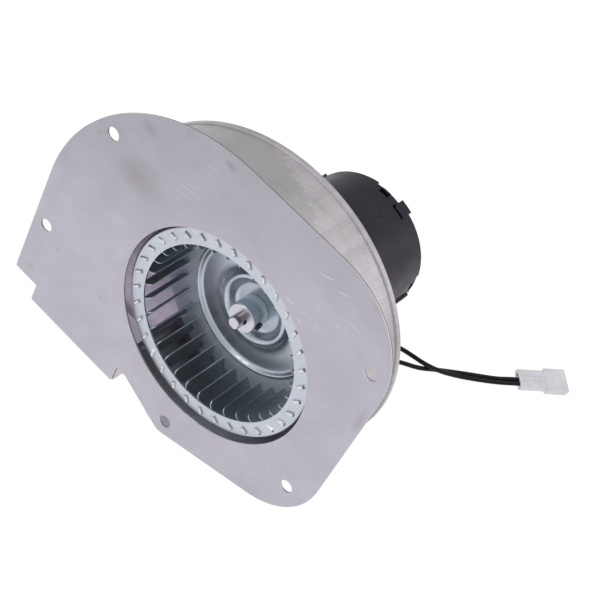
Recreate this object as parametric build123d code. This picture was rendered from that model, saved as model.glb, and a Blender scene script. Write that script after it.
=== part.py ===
from build123d import *
from math import atan2, cos, degrees, exp, hypot, radians, sin, tan
import os

# A combustion fan: a sheet-metal scroll on a mounting plate, a forward-curved wheel and a shaded-pole motor.
# Millimetres. The origin is the centre of the inlet on the mounting plate's front face. +Y runs along the
# shaft from the inlet to the motor, +Z is up, and the outlet opens towards -Z. Angles about the shaft start
# at +X and grow towards +Z.

# ---- mounting plate ----
PLATE_THICK = 1.2
PLATE_LEFT = -131.5
PLATE_RIGHT = 95.5
PLATE_TOP = 112.5
STEP_LEVEL = -80.3
OUTLET_LEVEL = -93.3
INLET_R = 65.0
HOLE_R = 4.1
HOLES = {"upper_left": (-103.6, 61.4), "lower_left": (-121.8, -33.4), "bottom": (-0.9, -83.6),
         "lower_right": (79.7, -45.4), "upper_right": (83.5, 67.3)}

# ---- scroll ----
SHEET = 0.9
SCROLL_DEPTH = 45.0
SPIRAL_R = 72.0
SPIRAL_GROWTH = 0.0841
SPIRAL_ZERO = -127.0
SPIRAL_START = -120.5
NOSE_R = 4.0
LIP_HEIGHT = 3.0
LIP_ROUND = 0.8
LIP_CHAMFER = 0.6
SHAFT_HOLE_R = 11.0

# ---- wheel ----
WHEEL_R = 64.0
RING_INNER_R = 53.3
RING_FRONT = 3.7
RING_THICK = 1.0
RING_EDGE_R = 1.8
BLADE_COUNT = 34
BLADE_INNER_R = 49.5
BLADE_OUTER_R = 60.2
BLADE_THICK = 0.55
BLADE_ENTRY = 12.0
BLADE_EXIT = 52.0
BLADE_CORNER = 2.4
TAB_R = 58.5
TAB_LEAN = 35.0
TAB_LENGTH = 4.6
TAB_THICK = 2.2
TAB_PROUD = 1.1
TAB_ROUND = 0.7
TAB_PHASE = 145.4
DISC_FRONT = 37.2
DISC_THICK = 0.9
HUB_R = 9.2
HUB_FRONT = 24.2
HUB_REAR = 42.0
SET_SCREW_Y = 29.0
SET_SCREW_R = 2.5
SET_SCREW_PROUD = 1.0

# ---- shaft and motor ----
SHAFT_R = 3.97
SHAFT_TIP = 17.8
SHAFT_REAR = 129.0
FLAT_DEPTH = 1.0
FLAT_END = 44.0
SHELL_R = 42.1
SHELL_THICK = 1.0
SHELL_FRONT = 57.5
SHELL_REAR = 136.0
RIM_TAB_ANGLE = 73.0
CORE_FRONT = 76.0
CORE_LENGTH = 26.0
CORE_R = 41.0
YOKE_INNER_R = 35.6
BORE_R = 22.7
ROTOR_R = 22.2
POLES = 4
COIL_OVERHANG = 12.0
BEARING_R = 7.0
BEARING_CLEARANCE = 0.03
FRONT_BEARING = (60.0, 71.0)
REAR_BEARING = (114.0, 127.0)
COVER_FRONT = 133.2
COVER_THICK = 1.4
COVER_SKIRT_R = 39.6
DIMPLE_Y = 116.0
DIMPLE_R = 2.6
DIMPLE_DEPTH = 0.9
BRACKET_THICK = 1.6
BRACKET_ANGLES = (-14.0, 166.0)
BRACKET_HALF = 7.0
BRACKET_ENDS = (133.0, 138.0)
GROMMET_Y = 116.0

# ---- leads and connector ----
LEAD_D = 3.0
LEAD_PITCH = 4.2
FLOOR = -94.3
CONNECTOR_AT = (112.2, 232.7)
CONNECTOR_TURN = 52.8
CONNECTOR_ROLL = 7.8
CONNECTOR_HEIGHT = 6.2
BODY_SIZE = (13.8, 4.4)
BODY_LENGTH = 20.0
SHROUD_WIDTH = 16.8
SHROUD_LENGTH = 15.7
CONNECTOR_LEVEL = -90.1
WAY_PITCH = 3.1
WAYS = (-WAY_PITCH, 0.0, WAY_PITCH)


# ------------------------------------------------------------------ helpers
def facing(y):
    """A plane across the shaft at height y along it, whose own x and y are the part's X and Z."""
    return Plane(origin=(0, y, 0), x_dir=(1, 0, 0), z_dir=(0, -1, 0))


def slab(sketch, y0, y1):
    """A flat outline drawn in X and Z, made solid from y0 to y1."""
    return extrude(facing(y0) * sketch, amount=y1 - y0, dir=(0, 1, 0))


def turned(*points, arc=360):
    """A solid turned about the shaft from a closed outline of (radius, y) points."""
    return revolve(make_face(Polyline(*points, close=True)), Axis.Y, revolution_arc=arc)


def tube(r_in, r_out, y0, y1):
    return turned((r_in, y0), (r_out, y0), (r_out, y1), (r_in, y1))


def round_bar(r, y0, y1):
    return slab(Circle(r), y0, y1)


def about_shaft(shape, angle):
    """The shape turned about the shaft from +X towards +Z."""
    return Rot(0, -angle, 0) * shape


def sector(r_in, r_out, y0, y1, a0, a1):
    """A piece of a tube between two angles."""
    return about_shaft(turned((r_in, y0), (r_out, y0), (r_out, y1), (r_in, y1), arc=a1 - a0), a1)


def polar(r, angle):
    return (r * cos(radians(angle)), r * sin(radians(angle)))


def save(name, *shapes):
    solids = [s for shape in shapes for s in shape.solids()]
    whole = solids[0] if len(solids) == 1 else Compound(solids)
    export_step(whole, f"parts/{name}.step")


# ------------------------------------------------------------------ mounting plate
def mounting_plate():
    corners = [
        ((PLATE_LEFT, STEP_LEVEL), 1.0), ((-113.5, STEP_LEVEL), 0.6), ((-113.5, OUTLET_LEVEL), 1.0),
        ((-43.5, OUTLET_LEVEL), 1.0), ((-43.5, STEP_LEVEL), 0.6), ((-36.0, STEP_LEVEL), 3.0),
        ((-3.0, -94.8), 8.0), ((PLATE_RIGHT, -65.0), 46.0), ((PLATE_RIGHT, PLATE_TOP), 55.0),
        ((PLATE_LEFT, PLATE_TOP), 108.0),
    ]
    outline = FilletPolyline(*[p for p, r in corners], radius=[r for p, r in corners], close=True)
    sketch = make_face(outline) - Circle(INLET_R)
    for place in HOLES.values():
        sketch -= Pos(*place) * Circle(HOLE_R)
    return slab(sketch, 0, PLATE_THICK)


# ------------------------------------------------------------------ scroll
SPIRAL_LEAN = degrees(atan2(SPIRAL_GROWTH, 1.0))
SPIRAL_END = 180.0 + SPIRAL_LEAN


def spiral_point(angle, out):
    """A point of the scroll's logarithmic spiral, moved out along its normal."""
    r = SPIRAL_R * exp(SPIRAL_GROWTH * radians(angle - SPIRAL_ZERO))
    x, z = polar(r, angle)
    nx, nz = polar(out, angle - SPIRAL_LEAN)
    return (x + nx, z + nz)


def spiral_curve(start, out):
    """The spiral from the start angle to where it runs straight down."""
    steps = 30
    angles = [start + (SPIRAL_END - start) * i / steps for i in range(steps + 1)]
    first = polar(1, start + 90 - SPIRAL_LEAN)
    return Spline(*[spiral_point(a, out) for a in angles], tangents=[first, (0, -1)], tangent_scalars=[1, 1])


def scroll_region(out):
    """All that the scroll's wall encloses: outlet side, rounded cut-off, spiral and straight left side."""
    start = spiral_point(SPIRAL_START, 0)
    inward = polar(1, SPIRAL_START - SPIRAL_LEAN)
    centre = (start[0] + NOSE_R * inward[0], start[1] + NOSE_R * inward[1])
    r = NOSE_R - out
    curve = spiral_curve(SPIRAL_START, out)
    low_right = (centre[0] - r, OUTLET_LEVEL)
    tip_start = (centre[0] - r, centre[1])
    tip_turn = (180 - (SPIRAL_START + 180 - SPIRAL_LEAN)) % 360
    out_x, out_z = polar(r, 180 - tip_turn / 2)
    tip_middle = (centre[0] + out_x, centre[1] + out_z)
    low_left = (spiral_point(SPIRAL_END, out)[0], OUTLET_LEVEL)
    return make_face([
        Line(low_right, tip_start),
        ThreePointArc(tip_start, tip_middle, curve @ 0),
        curve,
        Line(curve @ 1, low_left),
        Line(low_left, low_right),
    ])


def scroll_wall():
    wall = scroll_region(SHEET / 2) - scroll_region(-SHEET / 2)
    return slab(wall, PLATE_THICK, SCROLL_DEPTH - SHEET)


def bracket_holes():
    """The (radius, angle) places of the screws that hold the motor's bracket."""
    return [(54.0, a + turn) for a in BRACKET_ANGLES for turn in (-6.0, 6.0)]


def back_plate():
    cover = scroll_region(SHEET / 2 + SHEET) - Circle(SHAFT_HOLE_R)
    for place in bracket_holes():
        cover -= Pos(*polar(*place)) * Circle(2.3)
    plate = slab(cover, SCROLL_DEPTH - SHEET, SCROLL_DEPTH)
    lip = scroll_region(SHEET / 2 + SHEET) - scroll_region(SHEET / 2)
    outlet_side = Pos(-44, -80) * Rectangle(40, 60)
    lip = slab(lip - outlet_side, SCROLL_DEPTH - SHEET - LIP_HEIGHT, SCROLL_DEPTH - SHEET)
    pan = plate + lip
    top_face = pan.faces().sort_by(Axis.Y)[-1]
    pan = fillet(top_face.outer_wire().edges(), LIP_ROUND)
    long_edges = pan.faces().sort_by(Axis.Y)[0].edges().sort_by(SortBy.LENGTH)
    return chamfer(long_edges[-1], LIP_CHAMFER)


# ------------------------------------------------------------------ wheel
BLADE_RISE = BLADE_OUTER_R - BLADE_INNER_R
BLADE_TURN = BLADE_EXIT - BLADE_ENTRY + 7.6
BLADE_LENGTH = BLADE_RISE / cos(radians((BLADE_ENTRY + BLADE_EXIT) / 2))
BLADE_CURVE_R = BLADE_LENGTH / radians(BLADE_TURN)


def blade_centre():
    entry = radians(BLADE_ENTRY)
    return (BLADE_INNER_R - BLADE_CURVE_R * sin(entry), BLADE_CURVE_R * cos(entry))


def blade_point(share, side=0.0):
    """A point along the blade's arc, from 0 at its inner edge to 1 at its outer edge."""
    cx, cz = blade_centre()
    x, z = polar(BLADE_CURVE_R + side, BLADE_ENTRY - 90 + BLADE_TURN * share)
    return (cx + x, cz + z)


def tab_angle():
    """The angle from the blade's inner edge to its tab, about the shaft."""
    share = 0.0
    while hypot(*blade_point(share)) < TAB_R:
        share += 0.01
    x, z = blade_point(share)
    return degrees(atan2(z, x))


def tab_outline():
    lug = Rot(0, 0, tab_angle() + TAB_LEAN) * Rectangle(TAB_LENGTH, TAB_THICK)
    return Pos(*polar(TAB_R, tab_angle())) * lug


def around_wheel(shape):
    first = TAB_PHASE - tab_angle()
    return [about_shaft(shape, first + 360 * i / BLADE_COUNT) for i in range(BLADE_COUNT)]


def blade():
    """One forward-curved blade, its round inner front corner, and a tab at each end."""
    half = BLADE_THICK / 2
    section = make_face([
        ThreePointArc(blade_point(0, -half), blade_point(0.5, -half), blade_point(1, -half)),
        Line(blade_point(1, -half), blade_point(1, half)),
        ThreePointArc(blade_point(1, half), blade_point(0.5, half), blade_point(0, half)),
        Line(blade_point(0, half), blade_point(0, -half)),
    ])
    front = RING_FRONT + RING_THICK
    body = slab(section, front, DISC_FRONT)
    inner, corner = BLADE_INNER_R, BLADE_CORNER
    knee = (inner + corner * (1 - cos(radians(45))), front + corner * (1 - sin(radians(45))))
    cutter = make_face([
        Line((inner - 1, front - 0.5), (inner + corner, front - 0.5)),
        Line((inner + corner, front - 0.5), (inner + corner, front)),
        ThreePointArc((inner + corner, front), knee, (inner, front + corner)),
        Line((inner, front + corner), (inner - 1, front + corner)),
        Line((inner - 1, front + corner), (inner - 1, front - 0.5)),
    ])
    body -= revolve(cutter, Axis.Y)
    front_tab = slab(tab_outline(), RING_FRONT - TAB_PROUD, front + 1)
    front_tab = fillet(front_tab.faces().sort_by(Axis.Y)[0].edges(), TAB_ROUND)
    rear_tab = slab(tab_outline(), DISC_FRONT - 1, DISC_FRONT + DISC_THICK + 0.8)
    return body + front_tab + rear_tab


def tab_slots(y0, y1):
    return around_wheel(slab(tab_outline(), y0, y1))


def wheel_front_ring():
    """A flat ring whose outer edge turns back over the blades in a quarter round."""
    rim = RING_FRONT + 3.4
    inner = WHEEL_R - RING_THICK
    bend = (WHEEL_R - RING_EDGE_R, RING_FRONT + RING_EDGE_R)
    small = RING_EDGE_R - RING_THICK
    slant = cos(radians(45))
    outline = [
        Line((RING_INNER_R, RING_FRONT), (bend[0], RING_FRONT)),
        ThreePointArc((bend[0], RING_FRONT), (bend[0] + RING_EDGE_R * slant, bend[1] - RING_EDGE_R * slant),
                      (WHEEL_R, bend[1])),
        Line((WHEEL_R, bend[1]), (WHEEL_R, rim)),
        Line((WHEEL_R, rim), (inner, rim)),
        Line((inner, rim), (inner, bend[1])),
        ThreePointArc((inner, bend[1]), (bend[0] + small * slant, bend[1] - small * slant),
                      (bend[0], RING_FRONT + RING_THICK)),
        Line((bend[0], RING_FRONT + RING_THICK), (RING_INNER_R, RING_FRONT + RING_THICK)),
        Line((RING_INNER_R, RING_FRONT + RING_THICK), (RING_INNER_R, RING_FRONT)),
    ]
    ring = revolve(make_face(outline), Axis.Y)
    return ring - tab_slots(RING_FRONT - 1, RING_FRONT + RING_THICK + 1)


DISC_SEAT = 39.4
DISC_PROFILE = [(13.5, DISC_SEAT), (15.2, 39.2), (17.0, 37.3), (18.8, 35.0), (20.6, 34.2), (22.4, 35.0),
                (24.4, 37.2), (27.0, 38.3), (32.0, 38.4), (38.2, 38.3), (40.2, 37.9), (41.3, 36.7),
                (42.2, 36.1), (43.1, 36.5), (44.3, DISC_FRONT)]


def wheel_back_plate():
    """The wheel's disc: a seat for the hub, an embossed ring round it, a bead, and a rim for the blades."""
    rear_profile = [(r, y + DISC_THICK) for r, y in DISC_PROFILE]
    level = [(1, 0), (1, 0)]
    front = Spline(*DISC_PROFILE, tangents=level, tangent_scalars=[1, 1])
    rear = Spline(*rear_profile, tangents=level, tangent_scalars=[1, 1])
    rim_rear = DISC_FRONT + DISC_THICK
    edge = Polyline(DISC_PROFILE[-1], (WHEEL_R, DISC_FRONT), (WHEEL_R, rim_rear), rear_profile[-1])
    bore = Polyline(rear_profile[0], (HUB_R, DISC_SEAT + DISC_THICK), (HUB_R, DISC_SEAT), DISC_PROFILE[0])
    disc = revolve(make_face([front, *edge.edges(), rear, *bore.edges()]), Axis.Y)
    return disc - tab_slots(DISC_FRONT - 1, DISC_FRONT + DISC_THICK + 1)


def wheel_hub():
    """A turned hub with a chamfered nose, a groove, a collar behind the disc and a hole for the set screw."""
    groove = 36.6
    collar_r, collar = HUB_R + 1.8, DISC_SEAT + DISC_THICK
    body = turned(
        (SHAFT_R, HUB_FRONT), (HUB_R - 0.5, HUB_FRONT), (HUB_R, HUB_FRONT + 0.5), (HUB_R, groove),
        (HUB_R - 0.5, groove + 0.1), (HUB_R - 0.5, groove + 0.5), (HUB_R, groove + 0.6),
        (HUB_R, collar), (collar_r, collar), (collar_r, HUB_REAR), (SHAFT_R, HUB_REAR))
    return body - set_screw_bar(HUB_R + 2, SHAFT_R - FLAT_DEPTH)


def set_screw_bar(r_out, r_in):
    """A round bar along +X at the set screw, between two radii."""
    seat = Plane(origin=(r_in, SET_SCREW_Y, 0), z_dir=(1, 0, 0))
    return extrude(seat * Circle(SET_SCREW_R), amount=r_out - r_in)


def set_screw():
    key_floor = Plane(origin=(HUB_R - 1.2, SET_SCREW_Y, 0), z_dir=(1, 0, 0))
    key = extrude(key_floor * RegularPolygon(1.25, 6), amount=3)
    return set_screw_bar(HUB_R + SET_SCREW_PROUD, SHAFT_R - FLAT_DEPTH) - key


# ------------------------------------------------------------------ shaft and rotor
def shaft():
    chamfer = 0.6
    bar = turned((0, SHAFT_TIP), (SHAFT_R - chamfer, SHAFT_TIP), (SHAFT_R, SHAFT_TIP + chamfer),
                 (SHAFT_R, SHAFT_REAR - chamfer), (SHAFT_R - chamfer, SHAFT_REAR), (0, SHAFT_REAR))
    flat = Pos(SHAFT_R - FLAT_DEPTH + 5, (SHAFT_TIP + FLAT_END) / 2, 0)
    return bar - flat * Box(10, FLAT_END - SHAFT_TIP, 20)


def cage_bars(grow=0.0):
    count, ring_r, bar_r = 18, 19.6, 1.2
    front, rear = CORE_FRONT - grow, CORE_FRONT + CORE_LENGTH + grow
    return [round_bar_at(polar(ring_r, 360 * i / count), bar_r, front, rear)
            for i in range(count)]


def round_bar_at(place, r, y0, y1):
    return slab(Pos(*place) * Circle(r), y0, y1)


def rotor_core():
    return tube(SHAFT_R, ROTOR_R, CORE_FRONT, CORE_FRONT + CORE_LENGTH) - cage_bars()


def rotor_cage():
    """The cast cage: an end ring at each end of the core, joined by bars through it."""
    rear = CORE_FRONT + CORE_LENGTH
    return tube(12.5, 21.4, CORE_FRONT - 3, CORE_FRONT) + tube(12.5, 21.4, rear, rear + 3) + cage_bars(0.5)


def thrust_washers():
    front = FRONT_BEARING[1]
    rear = REAR_BEARING[0]
    return [tube(SHAFT_R, 6.2, front + 0.4, front + 1.2), tube(SHAFT_R, 6.2, rear - 1.2, rear - 0.4)]


def retaining_rings():
    """Open rings pressed on the shaft behind each thrust washer."""
    front = FRONT_BEARING[1] + 1.2
    rear = REAR_BEARING[0] - 1.2
    return [sector(SHAFT_R, 5.6, y, y + 0.8, 20, 340) for y in (front, rear - 0.8)]


def cooling_fan():
    """A stamped disc on the shaft between the scroll and the motor, with blades bent up at the scroll."""
    disc = tube(SHAFT_R, 8.5, 49.0, 56.0) + tube(8.0, 37.0, 52.0, 53.0)
    vane = Pos(27.5, 50.0, 0) * Box(17.0, 4.2, 1.0)
    return disc + [about_shaft(vane, 45 * i) for i in range(8)]


# ------------------------------------------------------------------ motor housing
def motor_shell():
    """A drawn can with a front lip turned in, and four recesses, notches, tabs and slits in its rear rim."""
    inner = SHELL_R - SHELL_THICK
    shell = turned((34, SHELL_FRONT), (SHELL_R - 1.2, SHELL_FRONT), (SHELL_R, SHELL_FRONT + 1.2),
                   (SHELL_R, SHELL_REAR), (inner, SHELL_REAR), (inner, SHELL_FRONT + SHELL_THICK),
                   (34, SHELL_FRONT + SHELL_THICK))
    lo, hi = inner - 0.5, SHELL_R + 0.5
    for quarter in range(4):
        a = RIM_TAB_ANGLE + 90 * quarter
        shell -= sector(lo, hi, SHELL_REAR - 1.7, SHELL_REAR + 1, a + 6, a + 29)
        shell -= sector(lo, hi, SHELL_REAR - 6.0, SHELL_REAR, a + 14.5, a + 23.5)
        shell -= sector(lo, hi, SHELL_REAR - 7.4, SHELL_REAR - 5.8, a - 6.5, a + 6.5)
        shell -= sector(lo, hi, SHELL_REAR - 7.4, SHELL_REAR - 4.4, a + 5.0, a + 6.5)
        shell += sector(inner, SHELL_R, SHELL_REAR - 2, SHELL_REAR + 2.5, a - 6, a + 6)
        dent = polar(SHELL_R + DIMPLE_R - DIMPLE_DEPTH, a + 6)
        shell -= Pos(dent[0], DIMPLE_Y, dent[1]) * Sphere(DIMPLE_R)
    hole = extrude(Plane(origin=(0, GROMMET_Y, -SHELL_R - 2)) * Circle(4.9), amount=6)
    return shell - hole


def boss(y0, y1, disc0, disc1):
    """An end shield's disc with a bearing boss."""
    return tube(BEARING_R, 10.0, y0, y1) + tube(10.0 - 0.5, SHELL_R - SHELL_THICK - 0.1, disc0, disc1)


def front_shield():
    shield = boss(SHELL_FRONT + SHELL_THICK, FRONT_BEARING[1], SHELL_FRONT + SHELL_THICK, 60.5)
    vents = [sector(16, 30, 56, 62, a + 20, a + 70) for a in (0, 90, 180, 270)]
    return shield - vents


def rear_cover():
    """A disc with a bearing boss, vents, a skirt inside the can, and a tongue across each rim notch."""
    rear = COVER_FRONT + COVER_THICK
    cover = boss(REAR_BEARING[0], rear, COVER_FRONT, rear)
    cover += round_bar(8.0, COVER_FRONT, rear)
    cover += tube(COVER_SKIRT_R - 1.2, COVER_SKIRT_R, COVER_FRONT - 7, COVER_FRONT + 0.5)
    cover += [sector(COVER_SKIRT_R, SHELL_R, COVER_FRONT, rear, a + 14.7, a + 23.3)
              for a in (RIM_TAB_ANGLE + 90 * quarter for quarter in range(4))]
    vents = [sector(18, 34, 125, 136, a, a + 14) for a in range(0, 360, 30)]
    return cover - vents


def bearing(y0, y1):
    """A sintered sleeve with a barrel-shaped outside."""
    bore, middle = SHAFT_R + BEARING_CLEARANCE, (y0 + y1) / 2
    outline = [
        Line((bore, y0), (BEARING_R - 1.2, y0)),
        ThreePointArc((BEARING_R - 1.2, y0), (BEARING_R, middle), (BEARING_R - 1.2, y1)),
        Line((BEARING_R - 1.2, y1), (bore, y1)),
        Line((bore, y1), (bore, y0)),
    ]
    return revolve(make_face(outline), Axis.Y)


def oil_felts():
    """A felt ring in each boss, outside the bearing's end."""
    return [tube(4.6, 6.8, 58.6, 59.8), tube(4.6, 6.8, 127.2, 129.6)]


# ------------------------------------------------------------------ stator
def pole_plane(radius, y, angle):
    """A plane square to the radius at an angle. Its x is tangential and its y runs along the shaft."""
    x, z = polar(radius, angle)
    tx, tz = polar(1, angle + 90)
    nx, nz = polar(1, angle)
    return Plane(origin=(x, y, z), x_dir=(tx, 0, tz), z_dir=(nx, 0, nz))


def radial_block(r_in, r_out, y, angle, w_tangent, w_axial):
    """A block between two radii, so wide across the radius and so long along the shaft."""
    return extrude(pole_plane(r_in, y, angle) * Rectangle(w_tangent, w_axial), amount=r_out - r_in)


CORE_MIDDLE = CORE_FRONT + CORE_LENGTH / 2
POLE_ANGLES = [45 + 360 / POLES * i for i in range(POLES)]


def stator_core():
    """Stacked laminations: a ring, four poles with shoes, and a groove in each shoe for its shading ring."""
    rear = CORE_FRONT + CORE_LENGTH
    core = tube(YOKE_INNER_R, CORE_R, CORE_FRONT, rear)
    for a in POLE_ANGLES:
        core += radial_block(24, YOKE_INNER_R + 1, CORE_MIDDLE, a, 12, CORE_LENGTH)
        core += sector(BORE_R, 26.2, CORE_FRONT, rear, a - 36, a + 36)
    grooves = [radial_block(20, 24.6, CORE_MIDDLE, a + 24, 2.4, CORE_LENGTH + 2) for a in POLE_ANGLES]
    return core - grooves


def shading_rings():
    """A closed copper strap round each shoe's tip."""
    rings = []
    for a in POLE_ANGLES:
        strap = radial_block(23.2, 28.0, CORE_MIDDLE, a + 24, 2.0, CORE_LENGTH + 3.2)
        strap -= radial_block(24.5, 26.7, CORE_MIDDLE, a + 24, 3.0, CORE_LENGTH + 0.2)
        rings.append(strap)
    return rings


def coil_insulators():
    pieces = []
    for a in POLE_ANGLES:
        piece = radial_block(28.3, 33.6, CORE_MIDDLE, a, 14.2, CORE_LENGTH + 2.2)
        pieces.append(piece - radial_block(28, 34, CORE_MIDDLE, a, 12.2, CORE_LENGTH + 0.2))
    return pieces


def stator_coils():
    """A winding round each pole, with round outer corners."""
    coils = []
    for a in POLE_ANGLES:
        outline = pole_plane(28.6, CORE_MIDDLE, a) * RectangleRounded(23, CORE_LENGTH + COIL_OVERHANG, 5)
        outer = extrude(outline, amount=4.8)
        coils.append(outer - radial_block(28, 34, CORE_MIDDLE, a, 14.4, CORE_LENGTH + 2.4))
    return coils


def thermal_protector():
    """A small block bound to the rear end of one winding."""
    rear = CORE_MIDDLE + (CORE_LENGTH + COIL_OVERHANG) / 2
    return about_shaft(Pos(31.0, rear + 2.5, 0) * Box(4.6, 5.0, 15.0), POLE_ANGLES[0])


# ------------------------------------------------------------------ motor bracket
def mounting_bracket():
    """Two steel legs along the can, each with a foot that is screwed to the scroll's back plate."""
    legs = []
    for a, end in zip(BRACKET_ANGLES, BRACKET_ENDS):
        outer = SHELL_R + BRACKET_THICK
        leg = sector(SHELL_R, outer, SCROLL_DEPTH, end, a - BRACKET_HALF, a + BRACKET_HALF)
        foot = about_shaft(Pos(52.0, SCROLL_DEPTH + BRACKET_THICK / 2, 0) * Box(18.0, BRACKET_THICK, 22.0), a)
        leg += foot
        for place in bracket_holes():
            leg -= round_bar_at(polar(*place), 2.3, SCROLL_DEPTH - 1, SCROLL_DEPTH + 3)
        legs.append(leg)
    return legs


def bracket_screws():
    """Hex washer-head screws through the feet and the back plate."""
    seat = SCROLL_DEPTH + BRACKET_THICK
    screws = []
    for place in bracket_holes():
        spot = Pos(*polar(*place))
        screw = slab(spot * Circle(2.25), 41.5, seat) + slab(spot * Circle(4.4), seat, seat + 0.9)
        screw += slab(spot * RegularPolygon(3.4, 6), seat + 0.9, seat + 3.6)
        screws.append(screw)
    return screws


# ------------------------------------------------------------------ leads
def lead_grommet():
    """A bushing in the can's underside, seen from which the two leads go down."""
    levels = [(-39.4, -40.5, 6.2), (-40.5, -42.2, 4.8), (-42.2, -44.4, 6.6)]
    return Part() + [extrude(Plane(origin=(0, GROMMET_Y, low)) * Circle(r), amount=high - low)
                     for high, low, r in levels]


LEAD_LEVEL = FLOOR + LEAD_D / 2
LEAD_TOP = -44.4
CROSSING = LEAD_LEVEL + LEAD_D + 0.4
ROUTE_A = [
    (-LEAD_PITCH / 2, GROMMET_Y, LEAD_TOP), (-LEAD_PITCH / 2, GROMMET_Y, -56.0), (-1.0, 119.0, -68.5),
    (2.5, 127.5, -80.0), (8.5, 140.5, -89.4), (18.5, 156.0, LEAD_LEVEL), (31.0, 170.5, LEAD_LEVEL),
    (45.5, 181.3, LEAD_LEVEL), (57.5, 183.4, LEAD_LEVEL + 1.0), (66.2, 183.2, CROSSING),
    (74.7, 187.3, CROSSING), (82.2, 195.9, LEAD_LEVEL + 0.8), (90.5, 204.6, LEAD_LEVEL + 0.2),
    (100.2, 213.8, LEAD_LEVEL + 1.2), (106.8, 220.6, LEAD_LEVEL + 2.1),
]
ROUTE_B = [
    (LEAD_PITCH / 2, GROMMET_Y, LEAD_TOP), (LEAD_PITCH / 2, GROMMET_Y, -57.0), (4.0, 117.6, -70.0),
    (10.0, 123.6, -82.0), (20.0, 135.0, -90.4), (32.0, 149.0, LEAD_LEVEL), (43.5, 162.2, LEAD_LEVEL),
    (54.2, 172.6, LEAD_LEVEL), (64.4, 179.6, LEAD_LEVEL), (71.5, 188.5, LEAD_LEVEL),
    (79.6, 197.8, LEAD_LEVEL), (88.4, 207.4, LEAD_LEVEL), (98.2, 217.0, LEAD_LEVEL + 0.6),
    (103.8, 222.2, LEAD_LEVEL + 1.6),
]


def connector_point(along, side):
    """A point of the connector's middle plane: along it from the wire end, and to its lower, right side."""
    c, s = cos(radians(CONNECTOR_TURN)), sin(radians(CONNECTOR_TURN))
    flat, drop = side * cos(radians(CONNECTOR_ROLL)), side * sin(radians(CONNECTOR_ROLL))
    x, y = CONNECTOR_AT
    return (x + along * c + flat * s, y + along * s - flat * c, CONNECTOR_LEVEL - drop)


def lead_route(points, side):
    """The route, ended straight along the connector's own direction."""
    return points + [connector_point(-7.0, side), connector_point(0, side)]


def lead(name, points):
    """A round tube along straight runs joined by arcs, each as large as its two runs allow."""
    pts = [Vector(*p) for p in points]
    radii = []
    for before, at, after in zip(pts, pts[1:], pts[2:]):
        turn = (at - before).get_angle(after - at)
        shorter = min((at - before).length, (after - at).length)
        radii.append(0.45 * shorter / tan(radians(turn / 2)))
    path = FilletPolyline(*pts, radius=radii)
    section = Plane(origin=pts[0], z_dir=pts[1] - pts[0]) * Circle(LEAD_D / 2)
    solid = sweep(section, path=path)
    expected = 3.14159265 * LEAD_D ** 2 / 4 * path.length
    print(f"{name}: length {path.length:.1f}, volume {solid.volume:.1f} of {expected:.1f}")
    print("  radii", [round(r, 1) for r in radii])
    return solid


def connector_plane(along):
    """A plane across the connector, whose own x runs to its lower, right side."""
    c, s = cos(radians(CONNECTOR_TURN)), sin(radians(CONNECTOR_TURN))
    lean, drop = cos(radians(CONNECTOR_ROLL)), sin(radians(CONNECTOR_ROLL))
    return Plane(origin=connector_point(along, 0), x_dir=(s * lean, -c * lean, -drop), z_dir=(c, s, 0))


def connector_housing():
    """A flat three-way housing with two ways in use: a grooved body, a chamfered shoulder and a shroud."""
    wide, high = BODY_SIZE
    body_end = RectangleRounded(wide, high, 0.6)
    shroud_end = RectangleRounded(SHROUD_WIDTH, CONNECTOR_HEIGHT, 0.8)
    socket = RectangleRounded(SHROUD_WIDTH - 2.4, CONNECTOR_HEIGHT - 2.2, 0.4)
    total = BODY_LENGTH + SHROUD_LENGTH
    shell = extrude(connector_plane(0) * body_end, amount=BODY_LENGTH)
    shell += extrude(connector_plane(BODY_LENGTH) * shroud_end, amount=SHROUD_LENGTH)
    shell += loft([connector_plane(BODY_LENGTH - 1.5) * body_end, connector_plane(BODY_LENGTH) * shroud_end])
    shell -= extrude(connector_plane(BODY_LENGTH + 3.5) * socket, amount=SHROUD_LENGTH)
    for side in WAYS:
        shell -= extrude(connector_plane(1.5) * (Pos(side, 0) * Circle(1.3)), amount=total)
        shell -= extrude(connector_plane(-1) * (Pos(side, 0) * Circle(1.45)), amount=4)
    for side in (-WAY_PITCH / 2, WAY_PITCH / 2):
        for level in (-high / 2, high / 2):
            groove = connector_plane(1.2) * (Pos(side, level) * Rectangle(1.1, 0.5))
            shell -= extrude(groove, amount=BODY_LENGTH - 4)
    return shell


def connector_terminals():
    """A round pin in each of the two ways in use."""
    return [extrude(connector_plane(4.0) * (Pos(side, 0) * Circle(1.0)), amount=24.0) for side in WAYS[1:]]


# ------------------------------------------------------------------ build
os.makedirs("parts", exist_ok=True)
save("mounting_plate", mounting_plate())
save("scroll_wall", scroll_wall())
save("back_plate", back_plate())
save("wheel_front_ring", wheel_front_ring())
save("wheel_blades", *around_wheel(blade()))
save("wheel_back_plate", wheel_back_plate())
save("wheel_hub", wheel_hub())
save("set_screw", set_screw())
save("shaft", shaft())
save("rotor_core", rotor_core())
save("rotor_cage", rotor_cage())
save("thrust_washers", *thrust_washers())
save("retaining_rings", *retaining_rings())
save("cooling_fan", cooling_fan())
save("motor_shell", motor_shell())
save("front_shield", front_shield())
save("rear_cover", rear_cover())
save("front_bearing", bearing(*FRONT_BEARING))
save("rear_bearing", bearing(*REAR_BEARING))
save("oil_felts", *oil_felts())
save("stator_core", stator_core())
save("shading_rings", *shading_rings())
save("coil_insulators", *coil_insulators())
save("stator_coils", *stator_coils())
save("thermal_protector", thermal_protector())
save("mounting_bracket", *mounting_bracket())
save("bracket_screws", *bracket_screws())
save("lead_grommet", lead_grommet())
save("lead_a", lead("lead_a", lead_route(ROUTE_A, WAYS[2])))
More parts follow.
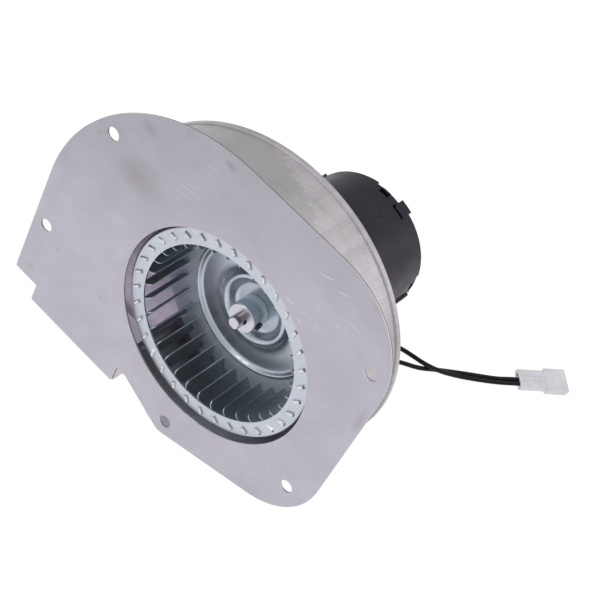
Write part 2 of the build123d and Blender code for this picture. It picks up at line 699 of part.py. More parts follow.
save("lead_b", lead("lead_b", lead_route(ROUTE_B, WAYS[1])))
save("connector_housing", connector_housing())
save("connector_terminals", *connector_terminals())
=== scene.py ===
"""Looks of the combustion fan: materials, leads, camera and studio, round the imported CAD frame."""

import math
from functools import reduce

import bpy
from mathutils import Matrix, Vector


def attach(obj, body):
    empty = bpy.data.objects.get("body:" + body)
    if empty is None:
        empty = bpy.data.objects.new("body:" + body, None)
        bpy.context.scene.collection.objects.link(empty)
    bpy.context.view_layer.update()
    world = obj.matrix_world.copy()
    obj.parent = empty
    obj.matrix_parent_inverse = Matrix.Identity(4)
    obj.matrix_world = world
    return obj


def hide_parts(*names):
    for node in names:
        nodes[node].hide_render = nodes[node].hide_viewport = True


MM = 0.001

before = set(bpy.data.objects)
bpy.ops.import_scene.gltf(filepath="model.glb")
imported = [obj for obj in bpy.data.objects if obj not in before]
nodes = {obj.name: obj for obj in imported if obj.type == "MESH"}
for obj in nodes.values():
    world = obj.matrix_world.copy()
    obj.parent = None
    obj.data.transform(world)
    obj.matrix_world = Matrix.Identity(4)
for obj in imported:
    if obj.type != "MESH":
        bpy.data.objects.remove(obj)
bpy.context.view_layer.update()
scene = bpy.context.scene


# ------------------------------------------------------------------ camera
CAMERA_AT = (0.20869, -0.52963, 0.64498)
CAMERA_AIM = (-0.220751, 0.660899, -0.717273)
CAMERA_UP = (-0.68015, 0.422779, 0.598877)
LENS = 96
SENSOR = 36


def make_camera():
    """The camera: it looks down on the plate from its upper right, and is rolled to the left."""
    data = bpy.data.cameras.new("camera")
    data.sensor_width = SENSOR
    data.lens = LENS
    data.clip_start = 0.01
    data.clip_end = 30
    camera = bpy.data.objects.new("camera", data)
    scene.collection.objects.link(camera)
    forward = Vector(CAMERA_AIM).normalized()
    right = forward.cross(Vector(CAMERA_UP)).normalized()
    turn = Matrix((right, right.cross(forward), -forward)).transposed()
    camera.matrix_world = Matrix.Translation(CAMERA_AT) @ turn.to_4x4()
    scene.camera = camera


make_camera()


# ------------------------------------------------------------------ procedural materials
class Paint:
    """A procedural material: one Principled shader and the texture nodes that feed it, in object space."""

    def __init__(self, name, color, metallic, rough, **sockets):
        self.mat = bpy.data.materials.new(name)
        self.mat.use_nodes = True
        self.tree = self.mat.node_tree
        self.tree.nodes.clear()
        self.shader = self.node("ShaderNodeBsdfPrincipled")
        out = self.node("ShaderNodeOutputMaterial")
        self.tree.links.new(self.shader.outputs[0], out.inputs[0])
        self.feed(Base_Color=(*color, 1), Metallic=metallic, Roughness=rough, **sockets)
        self.place = self.node("ShaderNodeTexCoord").outputs["Object"]
        self.normal = None

    def node(self, kind, **props):
        """A new node with the given properties."""
        made = self.tree.nodes.new(kind)
        for key, value in props.items():
            setattr(made, key, value)
        return made

    def set(self, made, socket, value):
        """Links a node's socket to another node's output, or sets it to a plain value."""
        target = made.inputs[socket]
        if isinstance(value, bpy.types.NodeSocket):
            self.tree.links.new(value, target)
        else:
            target.default_value = value

    def feed(self, **sockets):
        """Sets or links the shader's own sockets. Each space in a socket's name is written as _."""
        for name, value in sockets.items():
            self.set(self.shader, name.replace("_", " "), value)

    def fed(self, name):
        """The output that already feeds one of the shader's sockets."""
        return self.shader.inputs[name].links[0].from_socket

    # places on the object, in metres
    def split(self, vector=None):
        """The three numbers of a vector, or of the place on the object."""
        made = self.node("ShaderNodeSeparateXYZ")
        self.set(made, 0, vector or self.place)
        return made.outputs[:]

    def around_shaft(self):
        """The angle round the shaft in radians, the place along the shaft and the distance from its axis."""
        x, y, z = self.split()
        return self.math("ARCTAN2", z, x), y, self.hypot(x, z)

    def mapped(self, stretch, turn=(0, 0, 0), move=(0, 0, 0)):
        """The place on the object, turned by degrees, moved and then stretched."""
        turned = self.node("ShaderNodeMapping")
        self.set(turned, "Vector", self.place)
        self.set(turned, "Rotation", tuple(math.radians(angle) for angle in turn))
        self.set(turned, "Location", move)
        stretched = self.node("ShaderNodeVectorMath", operation="MULTIPLY")
        self.set(stretched, 0, turned.outputs[0])
        self.set(stretched, 1, stretch)
        return stretched.outputs[0]

    # arithmetic
    def math(self, operation, a, b=0.0):
        made = self.node("ShaderNodeMath", operation=operation)
        self.set(made, 0, a)
        self.set(made, 1, b)
        return made.outputs[0]

    def times(self, *values):
        """The product of the values."""
        return reduce(lambda a, b: self.math("MULTIPLY", a, b), values)

    def most(self, values):
        """The largest of the values."""
        return reduce(lambda a, b: self.math("MAXIMUM", a, b), values)

    def hypot(self, a, b):
        """The length of two steps at right angles to each other."""
        return self.math("SQRT", self.math("ADD", self.times(a, a), self.times(b, b)))

    def spread(self, value, low, high, to_low=0.0, to_high=1.0):
        """A value from low to high, spread over to_low to to_high and kept within them."""
        made = self.node("ShaderNodeMapRange")
        for socket, number in zip(("Value", "From Min", "From Max", "To Min", "To Max"),
                                  (value, low, high, to_low, to_high)):
            self.set(made, socket, number)
        return made.outputs[0]

    def band(self, value, rise, full, fade, gone):
        """1 from full to fade, and 0 below rise and above gone."""
        return self.times(self.spread(value, rise, full), self.spread(value, fade, gone, 1.0, 0.0))

    # textures
    def noise(self, scale, detail, roughness=0.5, distortion=0.0, vector=None):
        made = self.node("ShaderNodeTexNoise")
        self.set(made, "Vector", vector or self.place)
        self.set(made, "Scale", scale)
        self.set(made, "Detail", detail)
        self.set(made, "Roughness", roughness)
        self.set(made, "Distortion", distortion)
        return made.outputs["Fac"]

    def uneven(self, low, high, scale, detail, **more):
        """A value that wanders between low and high."""
        return self.spread(self.noise(scale, detail, **more), 0.3, 0.7, low, high)

    def cells(self, scale):
        """A mosaic of flat cells, each with a value of its own from 0 to 1."""
        made = self.node("ShaderNodeTexVoronoi")
        self.set(made, "Vector", self.place)
        self.set(made, "Scale", scale)
        return self.split(made.outputs["Color"])[0]

    def wave(self, scale, direction, distortion=0.0):
        made = self.node("ShaderNodeTexWave", bands_direction=direction)
        self.set(made, "Vector", self.place)
        self.set(made, "Scale", scale)
        self.set(made, "Distortion", distortion)
        return made.outputs["Fac"]

    # marks: 1 on a mark, 0 away from it
    def hairlines(self, turns, length, width, low, high, shift, about=(0, 1, 0)):
        """Fine straight marks in several directions, one for each turn in degrees about an axis."""
        families = []
        for number, turn in enumerate(turns):
            angles = tuple(turn * part for part in about)
            move = tuple(number * step for step in shift)
            place = self.mapped((1 / length, 1 / width, 1 / width), angles, move)
            families.append(self.spread(self.noise(1.0, 1.0, 0.4, vector=place), low, high))
        return self.most(families)

    def segment(self, start, end, width):
        """A single mark on the plate between two (x, z) points in millimetres."""
        core = 0.3
        x, _, z = self.split()
        step_x, step_z = (end[0] - start[0]) * MM, (end[1] - start[1]) * MM
        length = math.hypot(step_x, step_z)
        from_x = self.math("SUBTRACT", x, start[0] * MM)
        from_z = self.math("SUBTRACT", z, start[1] * MM)
        along = self.math("ADD", self.times(from_x, step_x / length), self.times(from_z, step_z / length))
        across = self.math("SUBTRACT", self.times(from_x, step_z / length),
                           self.times(from_z, step_x / length))
        from_middle = self.math("ABSOLUTE", self.math("SUBTRACT", along, length / 2))
        return self.times(self.spread(from_middle, length * core, length / 2, 1.0, 0.0),
                          self.spread(self.math("ABSOLUTE", across), width * MM * core, width * MM, 1.0, 0.0))

    def blotch(self, centre, radii):
        """A soft, ragged patch on the plate round an (x, z) point, in millimetres."""
        core, ragged = 0.35, 0.5
        x, _, z = self.split()
        across = self.math("DIVIDE", self.math("SUBTRACT", x, centre[0] * MM), radii[0] * MM)
        up = self.math("DIVIDE", self.math("SUBTRACT", z, centre[1] * MM), radii[1] * MM)
        edge = self.times(self.noise(70.0, 4.0, 0.6), ragged)
        away = self.math("ADD", self.hypot(across, up), edge)
        return self.spread(away, core, 1.0 + ragged / 2, 1.0, 0.0)

    # colour and relief
    def mix(self, share, a, b):
        """Colour a, or b where the share is 1."""
        made = self.node("ShaderNodeMix", data_type="RGBA")
        self.set(made, 0, share)
        for socket, value in ((6, a), (7, b)):
            self.set(made, socket, (*value, 1) if isinstance(value, tuple) else value)
        return made.outputs[2]

    def shade(self, color, value):
        """The colour made lighter or darker by a value about 1."""
        made = self.node("ShaderNodeVectorMath", operation="SCALE")
        self.set(made, 0, color)
        self.set(made, "Scale", value)
        return made.outputs[0]

    def bump(self, height, strength, distance):
        """Relief on top of what is there already, with its distance in metres."""
        made = self.node("ShaderNodeBump")
        self.set(made, "Height", height)
        self.set(made, "Strength", strength)
        self.set(made, "Distance", distance)
        if self.normal is not None:
            self.set(made, "Normal", self.normal)
        self.normal = made.outputs[0]
        self.feed(Normal=self.normal)


def sheet_base(p, light, dark, cloud):
    """Mill-finish sheet: a cloudy tone under a fine even grain. Gives the colour and the grain."""
    tone = p.noise(8.0, 4.0, 0.55, 0.3)
    color = p.mix(p.spread(tone, 0.34, 0.68), dark, light)
    fog = p.uneven(1.0 - cloud / 2, 1.0 + cloud / 2, 34.0, 5.0, roughness=0.65, distortion=0.6)
    color = p.shade(color, fog)
    grain = p.noise(1000.0, 3.0, 0.75)
    color = p.shade(color, p.spread(grain, 0.3, 0.7, 0.93, 1.07))
    return color, grain


# Scratches on the plate: start and end (x, z), and width, in millimetres.
PLATE_MARKS = [
    ((33.5, 94.2), (42.2, 97.5), 0.55), ((46.2, 93.9), (54.1, 97.2), 0.45),
    ((57.8, 82.5), (68.6, 83.3), 0.28), ((53.2, 75.5), (58.2, 75.4), 0.30),
    ((24.1, 64.0), (30.2, 64.6), 0.50), ((35.3, 59.0), (39.8, 57.2), 0.50),
    ((34.5, 64.9), (42.6, 65.8), 0.25), ((39.1, 60.5), (52.5, 67.0), 0.22),
    ((-57.4, 69.3), (-42.5, 72.7), 0.22), ((-59.8, 64.4), (-43.8, 67.4), 0.22),
    ((-54.5, 73.0), (-43.7, 77.0), 0.22), ((-48.4, 93.8), (-38.8, 95.1), 0.22),
    ((-55.4, 42.2), (-51.0, 42.7), 0.30), ((41.1, 75.7), (42.3, 75.9), 0.50),
    ((70.1, 20.5), (75.2, 28.8), 0.20), ((-20.4, -78.2), (-13.8, -75.1), 0.20),
    ((62.8, -40.1), (66.9, -48.6), 0.20),
]
# Stains on the plate: centre (x, z) and radii in millimetres, and strength.
PLATE_STAINS = [
    ((-79.4, 51.0), (19.0, 14.0), 0.42), ((-84.0, 84.0), (9.0, 5.0), 0.35),
    ((-122.2, -71.5), (5.0, 4.0), 0.35), ((-108.7, -41.7), (1.6, 1.6), 0.6),
    ((-71.0, -44.6), (1.4, 1.4), 0.5), ((-34.8, 105.1), (5.0, 3.0), 0.6),
    ((92.2, 37.1), (3.5, 12.0), 0.35), ((72.6, 104.5), (10.0, 4.0), 0.3),
    ((-112.1, 54.8), (1.0, 1.0), 0.7),
]


def plate_steel():
    """The plate: soft lavender-grey sheet with a brown heat stain and a few scratches, darker towards its
    upper left.
    """
    p = Paint("plate_steel", (0.48, 0.46, 0.52), 0.9, 0.42)
    color, grain = sheet_base(p, (0.515, 0.49, 0.555), (0.480, 0.458, 0.520), 0.10)
    for centre, radii, strength in PLATE_STAINS:
        color = p.mix(p.times(p.blotch(centre, radii), strength), color, (0.30, 0.275, 0.275))
    x, y, z = p.split()
    # darker towards the upper left of the plate, down to four fifths of its tone
    rise = p.math("ADD", p.times(x, -0.45), p.times(z, 0.9))
    color = p.shade(color, p.spread(rise, 0.03, 0.13, 1.0, 0.80))
    smear = p.noise(1.0, 5.0, 0.6, 0.5, p.mapped((12, 40, 90), (0, 52, 0)))
    color = p.shade(color, p.spread(smear, 0.5, 0.8, 1.0, 0.955))
    marks = p.most([p.segment(*mark) for mark in PLATE_MARKS])
    hair = p.hairlines((18, -37, 64), 0.02, 0.0003, 0.76, 0.86, (0, 0, 0.37))
    color = p.mix(p.times(hair, 0.12), color, (0.80, 0.78, 0.80))
    color = p.mix(p.times(marks, 0.34), color, (0.86, 0.83, 0.80))
    # the cut edge, from the front face (y = 0) to the back: a band of painted highlight, then a band of
    # painted shadow
    # painted shadow: the back half of the cut edge is painted dark
    painted_edge_shadow = p.band(y, 0.00055, 0.0006, 0.0011, 0.00115)
    color = p.mix(p.times(painted_edge_shadow, 0.75), color, (0.10, 0.095, 0.09))
    # painted highlight: the front half of the cut edge is painted light
    painted_edge_highlight = p.band(y, 0.00003, 0.00008, 0.0005, 0.00055)
    color = p.mix(p.times(painted_edge_highlight, 0.8), color, (0.78, 0.76, 0.70))
    gloss = p.uneven(0.38, 0.48, 60.0, 4.0, roughness=0.6)
    p.feed(Base_Color=color, Roughness=p.math("SUBTRACT", gloss, p.times(marks, 0.12)))
    p.bump(grain, 0.10, 0.00004)
    p.bump(p.noise(9.0, 2.0), 0.06, 0.0012)
    p.bump(marks, 0.2, 0.00005)
    return p


# The rubbed patch's edge is RUB_EDGE metres along the shaft at RUB_ANGLE, and moves by RUB_SLANT a radian.
RUB_ANGLE = 1.478
RUB_EDGE = 0.0227
RUB_SLANT = 0.0424
# The back sheet's lip starts here along the shaft.
LIP_FRONT = 0.0411


def scroll_steel():
    """The scroll: sheet brushed across the strip, with a dull rubbed patch and pale scuffs on its top."""
    p = Paint("scroll_steel", (0.50, 0.48, 0.50), 0.9, 0.40)
    color, grain = sheet_base(p, (0.585, 0.560, 0.590), (0.50, 0.478, 0.505), 0.14)
    angle, along, _ = p.around_shaft()
    # the rubbed patch ends at an edge that runs slantwise over the strip and wanders
    edge = p.math("ADD", p.times(p.math("SUBTRACT", angle, RUB_ANGLE), RUB_SLANT), RUB_EDGE)
    edge = p.math("ADD", edge, p.uneven(-0.006, 0.006, 90.0, 4.0, roughness=0.7))
    inside = p.math("SUBTRACT", edge, along)
    reach = p.times(p.band(angle, 1.42, 1.50, 2.35, 2.95), p.spread(along, 0.0446, 0.0449, 1.0, 0.0))
    rubbed = p.times(p.spread(inside, 0.0, 0.002), reach)
    brush = p.noise(1.0, 3.0, 0.65, vector=p.mapped((1500, 30, 1500)))
    clear = p.math("SUBTRACT", 1.0, p.times(rubbed, 0.85))
    lines = p.times(p.math("SUBTRACT", brush, 0.5), clear)
    color = p.shade(color, p.spread(lines, -0.2, 0.2, 0.92, 1.08))
    color = p.shade(color, p.uneven(0.93, 1.07, 1.0, 3.0, roughness=0.6, vector=p.mapped((150, 5, 150))))
    color = p.mix(p.times(rubbed, 0.34), color, (0.37, 0.36, 0.35))
    smudge = p.noise(1.0, 5.0, 0.65, 0.8, p.mapped((30, 60, 30)))
    color = p.mix(p.spread(smudge, 0.52, 0.72, 0.0, 0.5), color, (0.40, 0.38, 0.39))
    # pale scuffs along the patch's edge, and small nicks all over
    flecks = p.times(p.spread(p.noise(240.0, 4.0, 0.7), 0.55, 0.68), reach)
    scuffs = p.times(flecks, p.spread(p.math("ABSOLUTE", inside), 0.0, 0.0022, 1.0, 0.0))
    nicks = p.hairlines((70, 20, 105), 0.010, 0.0003, 0.72, 0.80, (0, 0.21, 0), about=(1, 0, 0))
    pale = p.most([scuffs, p.times(nicks, 0.5)])
    color = p.mix(p.times(pale, 0.6), color, (0.82, 0.80, 0.78))
    # the fold in front of the lip is duller than the flat sheet
    fold = p.band(along, LIP_FRONT - 0.0002, LIP_FRONT, LIP_FRONT + 0.0006, LIP_FRONT + 0.0009)
    rough = p.math("ADD", p.uneven(0.40, 0.52, 70.0, 4.0), p.times(fold, 0.2))
    p.feed(Base_Color=color, Metallic=p.spread(fold, 0.0, 1.0, 0.9, 0.30), Roughness=rough)
    p.bump(brush, 0.12, 0.00006)
    p.bump(grain, 0.08, 0.00004)
    p.bump(p.noise(16.0, 2.0), 0.12, 0.0015)
    return p


def zinc(name, light, dark, rough, sway=0.05):
    """Bright zinc sheet: even satin with cloudy tone, faint spangle and a fine grain."""
    p = Paint(name, light, 1.0, rough)
    color, grain = sheet_base(p, light, dark, 0.05)
    color = p.shade(color, p.spread(p.cells(260.0), 0.0, 1.0, 0.985, 1.015))
    hair = p.hairlines((11, -48), 0.008, 0.0002, 0.76, 0.84, (0, 0, 0.37))
    color = p.mix(p.times(hair, 0.15), color, (0.85, 0.87, 0.88))
    p.feed(Base_Color=color, Roughness=p.uneven(rough - sway, rough + sway, 80.0, 4.0, roughness=0.6))
    p.bump(grain, 0.06, 0.00003)
    return p


# Radii on the disc between which the dust sets in, and the level along the shaft in front of which the tabs
# stand out of the ring, in metres.
DUST_STARTS = 0.0425
DUST_FULL = 0.0450
LUG_BACK = 0.00362


def disc_zinc():
    """The wheel's disc: satin zinc that is dulled by dust outside its bead, between the blades."""
    p = zinc("disc_zinc", (0.56, 0.61, 0.67), (0.51, 0.56, 0.63), 0.33, 0.03)
    radius = p.around_shaft()[2]
    dust = p.spread(radius, DUST_STARTS, DUST_FULL)
    p.feed(Metallic=p.spread(dust, 0.0, 1.0, 1.0, 0.55))
    p.feed(Roughness=p.math("ADD", p.fed("Roughness"), p.times(dust, 0.15)))
    return p


def blade_zinc():
    """The blades' sheet, with the riveted ends of their tabs in front of the ring painted a light grey as a
    painted highlight.
    """
    p = zinc("blade_zinc", (0.52, 0.59, 0.63), (0.45, 0.51, 0.55), 0.45)
    lug_highlight = p.spread(p.split()[1], LUG_BACK, LUG_BACK + 0.00008, 1.0, 0.0)
    # painted highlight: the tab ends get a mottled light grey in place of the sheet's colour
    rubbed = p.mix(p.spread(p.noise(900.0, 3.0, 0.6), 0.35, 0.65), (0.50, 0.51, 0.53), (0.76, 0.76, 0.78))
    p.feed(Base_Color=p.mix(lug_highlight, p.fed("Base Color"), rubbed))
    p.feed(Roughness=p.math("SUBTRACT", p.fed("Roughness"), p.times(lug_highlight, 0.20)))
    return p


def toned(color, factor):
    """The colour made darker or lighter, with no part over 1."""
    return tuple(min(1.0, part * factor) for part in color)


def plain(name, color, metallic, rough, cloud=40.0, grain=1500.0, vary=0.12, strength=0.1):
    """A simple finish with cloudy colour, uneven gloss and fine grain."""
    p = Paint(name, color, metallic, rough)
    tone = p.uneven(0.0, 1.0, cloud, 4.0, roughness=0.6)
    fine = p.noise(grain, 3.0, 0.6)
    gloss = p.math("ADD", p.uneven(rough - 0.06, rough + 0.06, cloud * 3, 3.0),
                   p.spread(fine, 0.3, 0.7, -0.03, 0.03))
    p.feed(Base_Color=p.mix(tone, toned(color, 1 - vary), toned(color, 1 + vary)), Roughness=gloss)
    p.bump(fine, strength, 0.00005)
    return p


# Levels along the shaft, in metres, in front of which only the hub's and the shaft's end faces lie.
HUB_NOSE = 0.0244
SHAFT_TIP = 0.0179
RINGS_PER_METRE = 4200.0


def turned_steel(name, color, rough, nose, painted_highlight_color):
    """Turned bar: fine rings round the shaft, a cloudy satin, and a painted highlight: a lighter end face in
    front of nose.
    """
    p = Paint(name, color, 1.0, rough)
    _, along, radius = p.around_shaft()
    level = p.node("ShaderNodeCombineXYZ")
    p.set(level, 0, p.times(along, RINGS_PER_METRE))
    p.set(level, 1, p.times(radius, RINGS_PER_METRE))
    rings = p.noise(1.0, 2.0, 0.5, vector=level.outputs[0])
    tone = p.noise(120.0, 4.0, 0.6)
    body = p.mix(p.spread(tone, 0.3, 0.7), toned(color, 0.92), toned(color, 1.06))
    body = p.shade(body, p.spread(rings, 0.3, 0.7, 0.97, 1.03))
    # painted highlight: the end face in front of nose gets a lighter lavender colour
    face = p.spread(p.split()[1], nose, nose + 0.0001, 1.0, 0.0)
    p.feed(Base_Color=p.mix(face, body, painted_highlight_color),
           Roughness=p.spread(tone, 0.35, 0.65, rough - 0.05, rough + 0.07))
    p.bump(rings, 0.05, 0.00002)
    return p


def black_paint():
    """Satin black baked paint: faint orange peel, dust-grey rubs and slightly uneven gloss."""
    p = Paint("black_shell", (0.018, 0.0165, 0.022), 0.0, 0.45, Specular_IOR_Level=0.42,
              Specular_Tint=(0.86, 0.78, 1.0, 1.0))
    rub = p.spread(p.noise(26.0, 5.0, 0.65, 0.8), 0.5, 0.8)
    scuffs = p.hairlines((25, 130), 0.02, 0.0004, 0.76, 0.84, (0, 0.21, 0))
    gloss = p.math("SUBTRACT", p.uneven(0.38, 0.50, 90.0, 4.0), p.times(scuffs, 0.12))
    p.feed(Base_Color=p.mix(rub, (0.009, 0.008, 0.012), (0.019, 0.017, 0.024)), Roughness=gloss)
    p.bump(p.noise(900.0, 2.0), 0.10, 0.00008)
    p.bump(p.noise(4000.0, 1.0), 0.06, 0.00003)
    return p


def laminations():
    """Stacked steel sheets seen on edge, with a dark varnish."""
    p = Paint("laminations", (0.16, 0.16, 0.17), 0.7, 0.45)
    layers = p.wave(320.0, "Y")
    color = p.mix(p.spread(layers, 0.2, 0.8), (0.07, 0.07, 0.075), (0.22, 0.22, 0.23))
    p.feed(Base_Color=p.shade(color, p.uneven(0.8, 1.15, 80.0, 4.0)))
    p.bump(layers, 0.4, 0.0001)
    return p


def windings():
    """Enamelled wire laid side by side under a little varnish."""
    p = Paint("copper", (0.60, 0.24, 0.10), 0.9, 0.3, Coat_Weight=0.4, Coat_Roughness=0.15)
    wires = p.wave(560.0, "DIAGONAL", 0.3)
    color = p.mix(p.spread(wires, 0.1, 0.9), (0.22, 0.07, 0.03), (0.70, 0.30, 0.13))
    p.feed(Base_Color=p.shade(color, p.uneven(0.8, 1.1, 200.0, 3.0)))
    p.bump(wires, 0.7, 0.0002)
    return p


def lead_jacket():
    """Black plastic insulation: smooth and slightly waxy, with a faint change of tone and gloss."""
    p = Paint("lead_jacket", (0.004, 0.004, 0.005), 0.0, 0.42, Specular_IOR_Level=0.22)
    tone = p.spread(p.noise(160.0, 4.0, 0.6), 0.35, 0.7)
    p.feed(Base_Color=p.mix(tone, (0.003, 0.003, 0.004), (0.007, 0.007, 0.009)),
           Roughness=p.uneven(0.32, 0.48, 420.0, 3.0))
    p.bump(p.noise(900.0, 2.0), 0.12, 0.0001)
    return p


def nylon():
    """Milky moulded nylon with cloudy tone and a faint spark-eroded texture."""
    p = Paint("white_nylon", (0.70, 0.69, 0.74), 0.0, 0.42, Subsurface_Weight=0.15, Subsurface_Scale=0.002)
    tone = p.uneven(0.0, 1.0, 110.0, 4.0, roughness=0.6, distortion=0.6)
    p.feed(Base_Color=p.mix(tone, (0.64, 0.625, 0.68), (0.74, 0.73, 0.77)),
           Roughness=p.uneven(0.38, 0.5, 400.0, 3.0))
    p.bump(p.noise(2200.0, 2.0), 0.15, 0.00004)
    return p


MATERIALS = {
    "plate": plate_steel(),
    "scroll": scroll_steel(),
    "zinc": zinc("wheel_zinc", (0.555, 0.585, 0.645), (0.515, 0.54, 0.60), 0.32),
    "disc": disc_zinc(),
    "blade": blade_zinc(),
    # The last colour of each turned finish is a painted highlight on the hub's or the shaft's end face.
    "turned": turned_steel("turned_steel", (0.56, 0.635, 0.68), 0.32, HUB_NOSE, (0.62, 0.61, 0.68)),
    "shaft": turned_steel("shaft_steel", (0.33, 0.315, 0.33), 0.26, SHAFT_TIP, (0.60, 0.58, 0.66)),
    "can": black_paint(),
    "strap": plain("black_strap", (0.012, 0.012, 0.014), 0.0, 0.42, strength=0.2),
    "screw": plain("zinc_screw", (0.62, 0.62, 0.60), 1.0, 0.34),
    "set_screw": plain("black_oxide", (0.012, 0.012, 0.013), 0.3, 0.35),
    "bronze": plain("bronze", (0.50, 0.33, 0.17), 1.0, 0.5, strength=0.35),
    "felt": plain("felt", (0.42, 0.37, 0.30), 0.0, 0.95, cloud=300.0, grain=2500.0, vary=0.25, strength=0.9),
    "insulation": plain("insulation", (0.62, 0.58, 0.46), 0.0, 0.6),
    "black_plastic": plain("black_plastic", (0.014, 0.014, 0.015), 0.0, 0.5, strength=0.25),
    "cast": plain("cast_aluminium", (0.62, 0.63, 0.64), 1.0, 0.46, cloud=60.0, grain=900.0, vary=0.15,
                  strength=0.35),
    "tinned": plain("tinned_brass", (0.70, 0.66, 0.55), 1.0, 0.3),
    "laminations": laminations(),
    "copper": windings(),
    "jacket": lead_jacket(),
    "nylon": nylon(),
}
FINISH = {
    "mounting_plate": "plate", "scroll_wall": "scroll", "back_plate": "scroll", "wheel_front_ring": "zinc",
    "wheel_blades": "blade", "wheel_back_plate": "disc", "wheel_hub": "turned", "set_screw": "set_screw",
    "shaft": "shaft", "rotor_core": "laminations", "rotor_cage": "cast", "thrust_washers": "turned",
    "retaining_rings": "set_screw", "cooling_fan": "cast", "motor_shell": "can", "front_shield": "can",
    "rear_cover": "can", "front_bearing": "bronze", "rear_bearing": "bronze", "oil_felts": "felt",
    "stator_core": "laminations", "shading_rings": "copper", "coil_insulators": "insulation",
    "stator_coils": "copper", "thermal_protector": "black_plastic", "mounting_bracket": "strap",
    "bracket_screws": "screw", "lead_grommet": "black_plastic", "lead_a": "jacket", "lead_b": "jacket",
    "connector_housing": "nylon", "connector_terminals": "tinned",
}
for name, finish in FINISH.items():
    mesh = nodes[name].data
    mesh.materials.clear()
    mesh.materials.append(MATERIALS[finish].mat)


# ------------------------------------------------------------------ leads, in millimetres
LEAD_D = 3.0
LEAD_LEVEL = -92.8
CROSSING = LEAD_LEVEL + LEAD_D + 0.4
CONNECTOR_AT = (112.2, 232.7)
CONNECTOR_TURN = 52.8
CONNECTOR_ROLL = 7.8
CONNECTOR_LEVEL = -90.1
LEAD_SIDE = 2.1
LEAD_IN = 7.0
WAY_PITCH = 3.1
ROUTE_A = [
    (-LEAD_SIDE, 116.0, -44.4), (-LEAD_SIDE, 116.0, -56.0), (-1.0, 119.0, -68.5), (2.5, 127.5, -80.0),
    (8.5, 140.5, -89.4), (18.5, 156.0, LEAD_LEVEL), (31.0, 170.5, LEAD_LEVEL), (45.5, 181.3, LEAD_LEVEL),
    (57.5, 183.4, LEAD_LEVEL + 1.0), (66.2, 183.2, CROSSING), (74.7, 187.3, CROSSING),
    (82.2, 195.9, LEAD_LEVEL + 0.8), (90.5, 204.6, LEAD_LEVEL + 0.2), (100.2, 213.8, LEAD_LEVEL + 1.2),
    (106.8, 220.6, LEAD_LEVEL + 2.1),
]
ROUTE_B = [
    (LEAD_SIDE, 116.0, -44.4), (LEAD_SIDE, 116.0, -57.0), (4.0, 117.6, -70.0), (10.0, 123.6, -82.0),
    (20.0, 135.0, -90.4), (32.0, 149.0, LEAD_LEVEL), (43.5, 162.2, LEAD_LEVEL), (54.2, 172.6, LEAD_LEVEL),
    (64.4, 179.6, LEAD_LEVEL), (71.5, 188.5, LEAD_LEVEL), (79.6, 197.8, LEAD_LEVEL),
    (88.4, 207.4, LEAD_LEVEL), (98.2, 217.0, LEAD_LEVEL + 0.6), (103.8, 222.2, LEAD_LEVEL + 1.6),
]


def connector_point(along, side):
    """A point of the connector's middle plane: along it from the leads' ends, and to its lower right side."""
    turn, roll = math.radians(CONNECTOR_TURN), math.radians(CONNECTOR_ROLL)
    flat, drop = side * math.cos(roll), side * math.sin(roll)
    x = CONNECTOR_AT[0] + along * math.cos(turn) + flat * math.sin(turn)
    y = CONNECTOR_AT[1] + along * math.sin(turn) - flat * math.cos(turn)
    return (x, y, CONNECTOR_LEVEL - drop)


def lead(name, route, side):
    """One lead on a smooth curve through its given route, from the grommet to the connector."""
    points = route + [connector_point(-LEAD_IN, side), connector_point(0, side)]
    curve = bpy.data.curves.new(name + "_wire", "CURVE")
    curve.dimensions = "3D"
    spline = curve.splines.new("NURBS")
    spline.points.add(len(points) - 1)
    for point, place in zip(spline.points, points):
        point.co = (*(v * MM for v in place), 1)
    spline.order_u = 3
    spline.use_endpoint_u = True
    spline.resolution_u = 24
    curve.bevel_depth = LEAD_D / 2 * MM
    curve.bevel_resolution = 8
    curve.use_fill_caps = True
    curve.materials.append(MATERIALS["jacket"].mat)
    wire = bpy.data.objects.new(name + "_wire", curve)
    scene.collection.objects.link(wire)
    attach(wire, "housing")
    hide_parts(name)


lead("lead_a", ROUTE_A, WAY_PITCH)
lead("lead_b", ROUTE_B, 0.0)


# ------------------------------------------------------------------ studio, in metres
FLOOR_HALF = 6.0
FLOOR = (LEAD_LEVEL - LEAD_D / 2) * MM
FLOOR_GAP = 0.00005
FLOOR_GLOW = 0.97
# How much the patches of painted shadow on the floor still glow, and how soft their edges are, in metres.
SHADOW_PATCH_GLOW = 0.27
SHADOW_PATCH_SOFT = 0.004
# Patches of painted shadow, tinted lavender, where the floor is seen through the wheel and the outlet, and
# through the bottom hole: left, right, front and rear.
PAINTED_SHADOW_PATCHES = ((-0.110, -0.047, 0.002, 0.050), (-0.014, 0.004, 0.003, 0.016))
WORLD_GLOW = 0.62


def painted_shadow_rectangle(p, x, y, left, right, front, rear):
    """A soft-edged rectangle of painted shadow on the floor: 1 inside it, 0 outside."""
    across = p.band(x, left - SHADOW_PATCH_SOFT, left + SHADOW_PATCH_SOFT, right - SHADOW_PATCH_SOFT, right + SHADOW_PATCH_SOFT)
    deep = p.band(y, front - SHADOW_PATCH_SOFT / 2, front + SHADOW_PATCH_SOFT / 2, rear - SHADOW_PATCH_SOFT, rear + SHADOW_PATCH_SOFT)
    return p.times(across, deep)


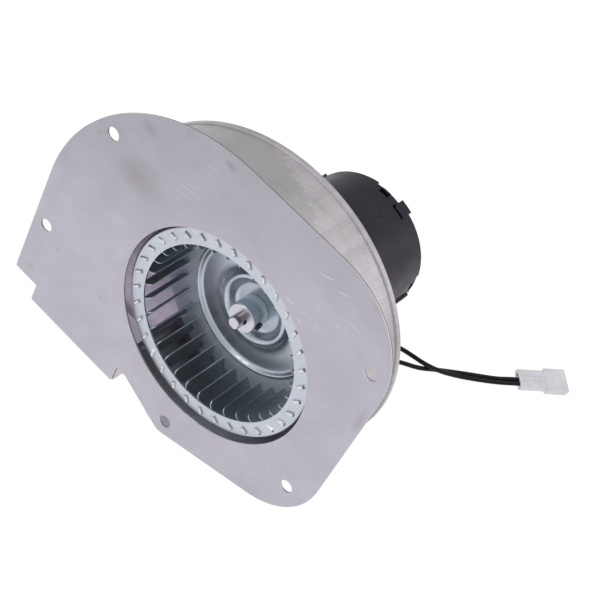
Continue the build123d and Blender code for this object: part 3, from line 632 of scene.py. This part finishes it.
def make_floor():
    """A white light table: it glows evenly, so that the object stands on pure white, but for two patches of
    painted shadow that glow less and lavender.
    """
    mesh = bpy.data.meshes.new("floor")
    corners = [(-FLOOR_HALF, -FLOOR_HALF), (FLOOR_HALF, -FLOOR_HALF), (FLOOR_HALF, FLOOR_HALF),
               (-FLOOR_HALF, FLOOR_HALF)]
    mesh.from_pydata([(x, y, FLOOR - FLOOR_GAP) for x, y in corners], [], [(0, 1, 2, 3)])
    floor = bpy.data.objects.new("floor", mesh)
    scene.collection.objects.link(floor)
    p = Paint("light_table", (0.10, 0.10, 0.10), 0.0, 0.9, Specular_IOR_Level=0.0)
    x, y, _ = p.split()
    # painted shadow: the floor glows less, and lavender, in the patches under the fan
    painted_shadow_mask = p.most([painted_shadow_rectangle(p, x, y, *patch) for patch in PAINTED_SHADOW_PATCHES])
    p.feed(Base_Color=p.mix(p.uneven(0.0, 1.0, 3.0, 2.0), (0.095, 0.095, 0.10), (0.105, 0.105, 0.105)),
           Emission_Color=p.mix(painted_shadow_mask, (1.0, 1.0, 1.0), (0.92, 0.86, 1.0)),
           Emission_Strength=p.spread(painted_shadow_mask, 0.0, 1.0, FLOOR_GLOW, SHADOW_PATCH_GLOW))
    mesh.materials.append(p.mat)


def soft_light(name, place, aim, size, power, color=(1, 1, 1)):
    """A rectangular soft light that points at aim."""
    data = bpy.data.lights.new(name, "AREA")
    data.shape = "RECTANGLE"
    data.size, data.size_y = size
    data.energy = power
    data.color = color
    light = bpy.data.objects.new(name, data)
    scene.collection.objects.link(light)
    light.location = place
    light.rotation_mode = "QUATERNION"
    light.rotation_quaternion = (Vector(aim) - Vector(place)).to_track_quat("-Z", "Y")
    return light


def make_world():
    """Even white light from all round."""
    world = bpy.data.worlds.new("studio")
    scene.world = world
    world.use_nodes = True
    background = world.node_tree.nodes["Background"]
    background.inputs["Color"].default_value = (1.0, 1.0, 1.0, 1)
    background.inputs["Strength"].default_value = WORLD_GLOW


make_floor()
make_world()
soft_light("key", (-1.1, -0.9, 1.5), (0, 0.03, 0), (0.8, 0.8), 9)
soft_light("top", (0.3, 0.5, 2.0), (0, 0.05, 0), (1.2, 1.2), 6)
soft_light("right", (1.6, 1.5, 1.0), (0, 0.05, 0), (1.8, 1.4), 7)
# A faint glow in the outlet's mouth, which shows only on the inside of the scroll.
mouth = (-0.078, 0.022, -0.090)
outlet = soft_light("outlet", mouth, (-0.078, 0.022, 0.1), (0.055, 0.036), 0.0035, (0.86, 0.80, 1.0))
outlet.visible_camera = False
scene.view_settings.view_transform = "Standard"
